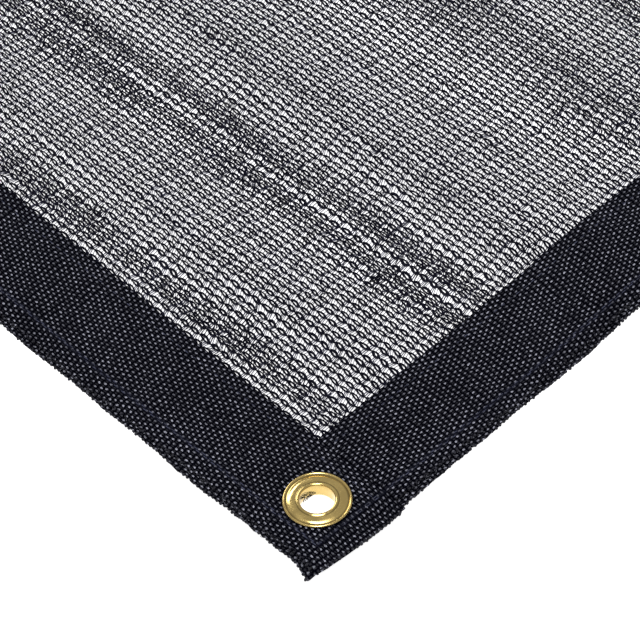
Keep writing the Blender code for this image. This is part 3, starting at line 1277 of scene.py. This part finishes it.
class SHADE_OT_make_tapes(bpy.types.Operator):
    """Make both layers of woven tape along all four edges"""

    bl_idname = "shade_cloth.make_tapes"
    bl_label = "Make edge tapes"

    def execute(self, context):
        settings = context.scene.shade_cloth
        finish = material("woven_tape_black", tape_finish, settings.colour, settings.tape)
        ends = (EYELET_INSET, SIDE - EYELET_INSET)
        for layer in LAYERS:
            for edge in EDGES:
                sheet = make_tape(layer, edge, settings.tape, finish)
                if edge in THROUGH_EDGES:
                    side = EYELET_INSET if edge == "left" else SIDE - EYELET_INSET
                    pierce(sheet, [(side, end) for end in ends])
                dress(sheet, [f"{layer}_tape_{edge}"], SMOOTH_TAPE)
        return {"FINISHED"}


# The sewing

SEWN_STITCH = (
    # m across the row, share of the stitch's length along it, m above the tape's face
    (0.00008, 0.02, -0.00040),
    (0.00004, 0.16, 0.00002),
    (-0.00004, 0.50, 0.00002),
    (-0.00008, 0.64, -0.00040),
)
ROW_APART = 0.00042  # from the middle of the outer seam to each of its two rows
ROW_SWAY, ROW_SWAY_LONG = 0.35 * WANDER, 0.081
ROW_PHASE = 17000.0  # radians to a metre of depth, so that no two rows sway together
ROW_SHIFTS = (0.0, 0.4, 0.2)  # share of a stitch that each row starts later
SEAM_END_GAP = 0.002


def lay_on_tape(obj, edge, depth, start, face, tape):
    """Moves a straight row of sewing, whose X is across and Y along the row, onto a tape's face."""
    points = points_of(obj)
    sway = np.sin(points[:, 1] * math.tau / ROW_SWAY_LONG + ROW_PHASE * depth)
    deep = depth + points[:, 0] + ROW_SWAY * sway
    place = start + points[:, 1]
    across, along = on_panel(edge, deep, place)
    if face == "top":
        surface = tape_middle("top", across, along, tape) + CLOTH_THICK / 2 - seam_groove(deep, tape)
        height = surface + points[:, 2]
    else:
        height = tape_middle("under", across, along, tape) - CLOTH_THICK / 2 - points[:, 2]
        height = np.maximum(height, SEWING_GAP)
    set_points(obj, np.stack([across - HALF, along - HALF, height], axis=1))
    if (edge in MIRRORED_EDGES) != (face == "under"):
        obj.data.flip_normals()


def sew_row(edge, depth, start, run, face, tape, finish):
    """A row of stitches along a tape: one stitch, copied in a row and laid on the tape's face."""
    pitch = tape.sewing_stitch
    stitch = [(across, share * pitch, height) for across, share, height in SEWN_STITCH]
    row = tubes("row", [stitch], tape.thread_radius, finish)
    repeat(row, math.floor(run / pitch), (0.0, pitch, 0.0))
    lay_on_tape(row, edge, depth, start, face, tape)
    return row


class SHADE_OT_make_sewing(bpy.types.Operator):
    """Sew two seams along each tape, seen above and below"""

    bl_idname = "shade_cloth.make_sewing"
    bl_label = "Make sewing"

    def execute(self, context):
        settings = context.scene.shade_cloth
        tape = settings.tape
        finish = material("sewing_thread", thread_finish, settings.colour.thread)
        pitch = tape.sewing_stitch
        outer_rows = (tape.outer_seam - ROW_APART, tape.outer_seam + ROW_APART)
        shifts = zip((*outer_rows, tape.inner_seam), ROW_SHIFTS)
        seams = [(depth, shift * pitch) for depth, shift in shifts]
        short_run = TOP_INNER - tape.outer_seam
        for face in ("top", "under"):
            rows = []
            for edge in EDGES:
                end = tape.outer_seam if edge in THROUGH_EDGES else TOP_INNER + SEAM_END_GAP
                for depth, shift in seams:
                    start = end + shift
                    run = SIDE - end - start
                    rows.append(sew_row(edge, depth, start, run, face, tape, finish))
            for edge in ("front", "back"):
                for start in (tape.outer_seam, SIDE - TOP_INNER):
                    for depth in outer_rows:
                        rows.append(sew_row(edge, depth, start, short_run, face, tape, finish))
            dress(join(rows, f"sewing_{face}"))
        return {"FINISHED"}


# The cut edges

YARN_RADIUS, FIBRE_RADIUS, END_RADIUS = 0.00088, 0.00011, 0.00019
YARN_SWELL = (0.8, 1.0, 0.6)
YARN_LOWEST = 0.0009
YARN_STEPS, YARN_STEPS_AT_ENDS = (0.0018, 0.0027), (0.0018, 0.0026)
YARN_REACH = (0.00005, 0.00065)
YARN_LEAN = 0.0004
YARN_PARTS = ((0.0006, 0.0), (0.0001, 0.5))  # depth inside the edge, share of the yarn's lean
YARN_DROOP = 0.00008
YARN_END_GAP = 0.001
# The curled fibres beside the cut edges are pale as a painted highlight on black yarn
YARN_DARK, YARN_GLINT = (0.010, 0.010, 0.014), (0.070, 0.072, 0.085)
CURLS_TO_AN_EDGE = 150
CURL_END_GAP = 0.006
CURL_PLACE = (-0.0008, 0.0006)  # mean and spread of its depth inside the edge
CURL_RAISED = 0.00045
CURL_BEND = 3.4
CURL_LENGTHS = (0.0007, 0.0018)
CURL_CLIMB = (0.30, 0.1, -0.1, -0.25)
HOLE_ENDS = (
    # degrees round the hole, mm above the lip's underside, mm long
    (52, 1.9, 1.0),
    (60, 2.3, 1.5),
    (66, 1.7, 0.9),
    (73, 2.0, 1.7),
    (80, 1.5, 1.2),
    (90, 1.7, 0.8),
)


def yarn_spots(rng):
    """Layer, edge, depth and place of each cut yarn: along the edges, and across the ends of the
    through tapes."""
    spots = []
    for layer in LAYERS:
        corner = CORNER_TRIM + INSETS[layer]
        for edge in EDGES:
            trim = corner if edge in THROUGH_EDGES else TOP_INNER + YARN_END_GAP
            place = trim
            while place < SIDE - trim:
                spots.append((layer, edge, float(outer_edge(layer, edge, place)), place))
                place += rng.uniform(*YARN_STEPS)
        for edge in ("front", "back"):
            for low, high in ((corner, TAPE_WIDTH), (SIDE - TAPE_WIDTH, SIDE - CORNER_TRIM)):
                place = low
                while place < high:
                    depth = float(end_step(min(place, SIDE - place)))
                    spots.append((layer, edge, depth, place))
                    place += rng.uniform(*YARN_STEPS_AT_ENDS)
    return spots


def cut_yarns(tape, rng):
    """Lines of the stubby yarn ends that stick out of all the cut edges."""
    lines = []
    for layer, edge, depth, place in yarn_spots(rng):
        reach = rng.uniform(*YARN_REACH)
        lean = rng.uniform(-YARN_LEAN, YARN_LEAN)
        line = []
        for deeper, share in (*YARN_PARTS, (-reach, 1.0)):
            across, along = on_panel(edge, depth + deeper, place + lean * share)
            height = tape_middle(layer, across, along, tape) + YARN_DROOP * (1.0 - 2.0 * share)
            across = across + float(flare(across, along))
            line.append((across - HALF, along - HALF, max(float(height), YARN_LOWEST)))
        lines.append(line)
    return lines


def edge_curl(edge, tape, rng):
    """Line of a short curled fibre beside a cut edge."""
    place = rng.uniform(CURL_END_GAP, SIDE - CURL_END_GAP)
    depth = outer_edge("top", edge, place) + rng.normal(*CURL_PLACE)
    across, along = on_panel(edge, float(depth), place)
    height = tape_middle("under", across, along, tape) + CURL_RAISED
    heading = rng.uniform(0.0, math.tau)
    bend = rng.uniform(-CURL_BEND, CURL_BEND)
    length = rng.uniform(*CURL_LENGTHS)
    line = [np.array([across - HALF, along - HALF, height])]
    for climb in CURL_CLIMB:
        heading += bend / len(CURL_CLIMB)
        way = np.array([math.cos(heading), math.sin(heading), climb])
        line.append(line[-1] + way * length / len(CURL_CLIMB))
    return line


def hole_ends():
    """Lines of the thread ends that stick into the front left eyelet's hole."""
    middle = eyelet_frame(EYELET_INSET, EYELET_INSET)
    low = -(STACK / 2 + LIP_DEPTH)
    lines = []
    for degrees, height, length in HOLE_ENDS:
        line = []
        for step in range(4):
            turn = math.radians(degrees + 7.0 * step)
            radius = THROAT_RADIUS - 0.0001 - length * MM * step / 3
            level = low + (height + 0.25 * math.sin(2.1 * step)) * MM
            line.append(middle @ Vector((radius * math.cos(turn), radius * math.sin(turn), level)))
        lines.append(line)
    return lines


class SHADE_OT_make_fibres(bpy.types.Operator):
    """Add the cut yarns of the edges, and scatter loose ends there and in the eyelet's hole"""

    bl_idname = "shade_cloth.make_fibres"
    bl_label = "Make cut yarns"

    def execute(self, context):
        settings = context.scene.shade_cloth
        tape = settings.tape
        rng = np.random.default_rng(5)
        dark = material("cut_yarn", thread_finish, YARN_DARK)
        pale = material("frayed_yarn", thread_finish, YARN_GLINT)
        knobs = cut_yarns(tape, rng)
        knobs = tubes("edge_yarns", knobs, YARN_RADIUS, dark, capped=True, swell=YARN_SWELL)
        dress(knobs)
        curls = [edge_curl(edge, tape, rng) for edge in EDGES for _ in range(CURLS_TO_AN_EDGE)]
        # Curled fibres in the painted highlight colour
        dress(tubes("edge_fibres", curls, FIBRE_RADIUS, pale, capped=True))
        ends = hole_ends()
        dress(tubes("thread_ends", ends, END_RADIUS, dark, capped=True))
        return {"FINISHED"}


# The eyelets

SLOPE_REACH = 0.006
WELD_REACH = 0.000001
RIM_DEGREES = (-50, -20, 5, 28, 50, 72, 95, 120, 148)
RIM_MIDDLE = 0.00052  # how high the rolled rim's middle is above the flange's underside
SMOOTH_BRASS = math.radians(50.0)


def eyelet_frame(across, along):
    """Placement of an eyelet: its middle half way up the layers, its axis square to the tape."""
    step = SLOPE_REACH
    slope_across = float(lift(across + step, along) - lift(across - step, along)) / (2 * step)
    slope_along = float(lift(across, along + step) - lift(across, along - step)) / (2 * step)
    axis = Vector((-slope_across, -slope_along, 1.0)).normalized()
    turn = Vector((0.0, 0.0, 1.0)).rotation_difference(axis)
    middle = Vector((across - HALF, along - HALF, float(lift(across, along)))) + axis * (STACK / 2)
    return Matrix.Translation(middle) @ turn.to_matrix().to_4x4()


def turned(name, profile, steps, finish):
    """A ring turned from a closed profile of (radius, height): a circle, extruded and scaled from
    one point of the profile to the next, and closed."""
    radius, height = profile[0]
    bpy.ops.mesh.primitive_circle_add(vertices=steps, radius=radius, location=(0.0, 0.0, height))
    ring = bpy.context.object
    ring.name = name
    ring.data.name = name
    bpy.ops.object.transform_apply(location=True, rotation=True, scale=True)
    bpy.ops.object.mode_set(mode="EDIT")
    bpy.ops.mesh.select_all(action="SELECT")
    for next_radius, next_height in profile[1:] + profile[:1]:
        bpy.ops.mesh.extrude_edges_move(
            TRANSFORM_OT_translate={"value": (0.0, 0.0, next_height - height)}
        )
        scale = next_radius / radius
        bpy.ops.transform.resize(
            value=(scale, scale, 1.0), center_override=(0.0, 0.0, next_height)
        )
        radius, height = next_radius, next_height
    bpy.ops.mesh.select_all(action="SELECT")
    bpy.ops.mesh.remove_doubles(threshold=WELD_REACH)
    bpy.ops.mesh.normals_make_consistent(inside=False)
    bpy.ops.object.mode_set(mode="OBJECT")
    ring.data.materials.append(finish)
    return ring


def paint_groove_shade(ring, grooves):
    """Marks the painted shade of a ring at each place, most in its grooves of (radius, half width).
    """
    points = points_of(ring)
    away = np.hypot(points[:, 0], points[:, 1])
    painted_darkness = sum(hump(away - radius, half_width) for radius, half_width in grooves)
    marks = ring.data.attributes.new("Groove_shade", "FLOAT", "POINT")
    marks.data.foreach_set("value", np.clip(painted_darkness, 0.0, 1.0).astype(np.float32))


def eyelet_profile(eyelet):
    """Rolled rim, groove, broad flange, raised throat ring, barrel and the lip closed under it."""
    face = STACK / 2 + LAYER_GAP
    barrel = THROAT_RADIUS + BARREL_WALL
    lip_top = -(STACK / 2 + LAYER_GAP + WASHER_THICK + LAYER_GAP)
    lip_low = lip_top - LIP_THICK
    rim = EYELET_RADIUS
    roll = eyelet.rim_width / 2
    throat = THROAT_RADIUS
    ring = throat + eyelet.ring_width
    profile = [(rim - 0.0003, face)]
    for degrees in RIM_DEGREES:
        turn = math.radians(degrees)
        across = rim - roll + roll * math.cos(turn)
        profile.append((across, face + RIM_MIDDLE + roll * math.sin(turn)))
    inner_rim = rim - eyelet.rim_width
    return profile + [
        (inner_rim - 0.00015, face + 0.00046),
        (inner_rim - 0.00050, face + 0.00044),
        (inner_rim - 0.00100, face + 0.00062),
        (inner_rim - 0.00160, face + 0.00086),
        (inner_rim - 0.00230, face + 0.00104),
        (ring + 0.00120, face + 0.00112),
        (ring + 0.00060, face + 0.00106),
        (ring + 0.00022, face + 0.00104),
        (ring, face + 0.00114),
        (ring - 0.00028, face + 0.00132),
        (ring - 0.00070, face + 0.00140),
        (throat + 0.00042, face + 0.00132),
        (throat + 0.00014, face + 0.00106),
        (throat, face + 0.00062),
        (throat, face - 0.0010),
        (throat, lip_low + 0.0012),
        (throat + 0.00008, lip_low + 0.00055),
        (throat + 0.00030, lip_low + 0.00018),
        (throat + 0.00070, lip_low),
        (LIP_RADIUS - 0.0006, lip_low + 0.00004),
        (LIP_RADIUS - 0.0002, lip_low + 0.00020),
        (LIP_RADIUS, lip_top - 0.00032),
        (LIP_RADIUS - 0.0002, lip_top),
        (barrel, lip_top),
        (barrel, face),
        (ring + 0.0020, face),
    ]


def washer_profile():
    """A ring with rounded edges and a slight hollow, under the tapes."""
    high = -(STACK / 2 + LAYER_GAP)
    low = high - WASHER_THICK
    inner = THROAT_RADIUS + BARREL_WALL + LAYER_GAP
    return [
        (WASHER_RADIUS - 0.00015, high),
        (WASHER_RADIUS, high - 0.0002),
        (WASHER_RADIUS, low + 0.0003),
        (WASHER_RADIUS - 0.00025, low + 0.00006),
        (WASHER_RADIUS - 0.0007, low),
        (WASHER_RADIUS - 0.0016, low + 0.00012),
        (inner + 0.0007, low + 0.00004),
        (inner + 0.0003, low),
        (inner, low + 0.0002),
        (inner, high - 0.0002),
        (inner + 0.0002, high),
    ]


class SHADE_OT_make_eyelets(bpy.types.Operator):
    """Turn the four brass eyelets and the washers that they are closed over"""

    bl_idname = "shade_cloth.make_eyelets"
    bl_label = "Make eyelets"

    def execute(self, context):
        settings = context.scene.shade_cloth
        finish = material("pressed_brass", brass_finish, settings.colour.brass)
        sizes = settings.eyelet
        # Grooves of painted shade: outside the rim, inside the rim, beside the throat ring and in the
        # throat
        grooves = (
            (EYELET_RADIUS + 0.00010, 0.00036),
            (EYELET_RADIUS - sizes.rim_width - 0.00030, 0.00060),
            (THROAT_RADIUS + sizes.ring_width + 0.00018, 0.00045),
            (THROAT_RADIUS - 0.00025, 0.00050),
        )
        near, far = EYELET_INSET, SIDE - EYELET_INSET
        profiles = {"eyelet": eyelet_profile(sizes), "washer": washer_profile()}
        for side, across in (("left", near), ("right", far)):
            for end, along in (("front", near), ("back", far)):
                for kind, profile in profiles.items():
                    name = f"{kind}_{end}_{side}"
                    ring = turned("brass_" + name, profile, sizes.turn_steps, finish)
                    paint_groove_shade(ring, grooves)
                    ring.matrix_world = eyelet_frame(across, along)
                    only(ring)
                    bpy.ops.object.transform_apply(location=True, rotation=True, scale=True)
                    dress(ring, [name], SMOOTH_BRASS)
        return {"FINISHED"}


# The stage

LIGHT_AIM = (-0.1, -0.1, 0.0)
LIGHTS = (
    # name, place, width and length, power in watts
    ("overhead", (-0.30, -0.30, 1.9), (0.75, 0.75), 17.0),
    ("behind_camera", (-0.80, -0.80, 1.73), (0.5, 0.5), 13.0),
    ("far_left", (0.40, 1.60, 1.20), (0.9, 0.5), 9.0),
)
SKY_STRENGTH = 0.42
FLOOR_HEIGHT = -0.00005
SENSOR_WIDTH = 36.0


def add_light(name, place, size, power):
    """A soft white light over the front left part of the cloth."""
    bpy.ops.object.light_add(type="AREA", location=place)
    light = bpy.context.object
    light.name = name
    light.data.shape = "RECTANGLE"
    light.data.size, light.data.size_y = size
    light.data.energy = power
    sight = Vector(LIGHT_AIM) - Vector(place)
    light.rotation_euler = sight.to_track_quat("-Z", "Y").to_euler()


def add_camera(stage):
    """The camera, turned as the settings say and looking at their aim."""
    sight = Vector((
        math.sin(stage.azimuth) * math.cos(stage.elevation),
        math.cos(stage.azimuth) * math.cos(stage.elevation),
        -math.sin(stage.elevation),
    ))
    level = Vector((math.cos(stage.azimuth), -math.sin(stage.azimuth), 0.0))
    raised = level.cross(sight)
    right = math.cos(stage.roll) * level + math.sin(stage.roll) * raised
    up = -math.sin(stage.roll) * level + math.cos(stage.roll) * raised
    place = Vector(stage.aim) - sight * stage.distance
    bpy.ops.object.camera_add()
    camera = bpy.context.object
    camera.data.lens = stage.lens
    camera.data.sensor_width = SENSOR_WIDTH
    turn = Matrix((right, up, -sight)).transposed()
    camera.matrix_world = Matrix.Translation(place) @ turn.to_4x4()
    bpy.context.scene.camera = camera


class SHADE_OT_make_stage(bpy.types.Operator):
    """Add the floor, the lights and the camera"""

    bl_idname = "shade_cloth.make_stage"
    bl_label = "Make stage"

    def execute(self, context):
        settings = context.scene.shade_cloth
        size = settings.stage.floor_size
        bpy.ops.mesh.primitive_plane_add(size=size, location=(0.0, 0.0, FLOOR_HEIGHT))
        floor = context.object
        floor.name = "floor"
        bpy.ops.object.transform_apply(location=True, rotation=True, scale=True)
        floor.data.materials.append(material("pale_floor", floor_finish, settings.colour.floor))

        for light in LIGHTS:
            add_light(*light)
        world = bpy.data.worlds.new("Studio")
        context.scene.world = world
        world.use_nodes = True
        background = world.node_tree.nodes["Background"]
        background.inputs["Color"].default_value = (1.0, 1.0, 1.0, 1.0)
        background.inputs["Strength"].default_value = SKY_STRENGTH
        context.scene.view_settings.view_transform = "Standard"
        add_camera(settings.stage)
        return {"FINISHED"}


class SHADE_PT_panel(bpy.types.Panel):
    """Lists the makers of the shade cloth's pieces"""

    bl_idname = "SHADE_PT_panel"
    bl_label = "Shade cloth"
    bl_space_type = "VIEW_3D"
    bl_region_type = "UI"
    bl_category = "Shade cloth"

    def draw(self, context):
        for operator in OPERATORS:
            self.layout.operator(operator.bl_idname)
        settings = context.scene.shade_cloth
        for name in ("knit", "tape", "eyelet", "colour", "stage"):
            group = getattr(settings, name)
            box = self.layout.box()
            box.label(text=name.title())
            for key in group.bl_rna.properties.keys():
                if key not in ("rna_type", "name"):
                    box.prop(group, key)


GROUPS = (
    KnitSettings,
    TapeSettings,
    EyeletSettings,
    ColourSettings,
    StageSettings,
    ShadeClothSettings,
)
OPERATORS = (
    SHADE_OT_make_stage,
    SHADE_OT_make_tapes,
    SHADE_OT_make_net,
    SHADE_OT_make_sewing,
    SHADE_OT_make_fibres,
    SHADE_OT_make_eyelets,
)


def register():
    for group in GROUPS + OPERATORS + (SHADE_PT_panel,):
        bpy.utils.register_class(group)
    bpy.types.Scene.shade_cloth = PointerProperty(type=ShadeClothSettings)


def unregister():
    del bpy.types.Scene.shade_cloth
    for group in reversed(GROUPS + OPERATORS + (SHADE_PT_panel,)):
        bpy.utils.unregister_class(group)


def main():
    register()
    bpy.ops.object.select_all(action="DESELECT")
    bpy.ops.shade_cloth.make_stage()
    bpy.ops.shade_cloth.make_tapes()
    bpy.ops.shade_cloth.make_net()
    bpy.ops.shade_cloth.make_sewing()
    bpy.ops.shade_cloth.make_fibres()
    bpy.ops.shade_cloth.make_eyelets()


if __name__ == "__main__":
    main()
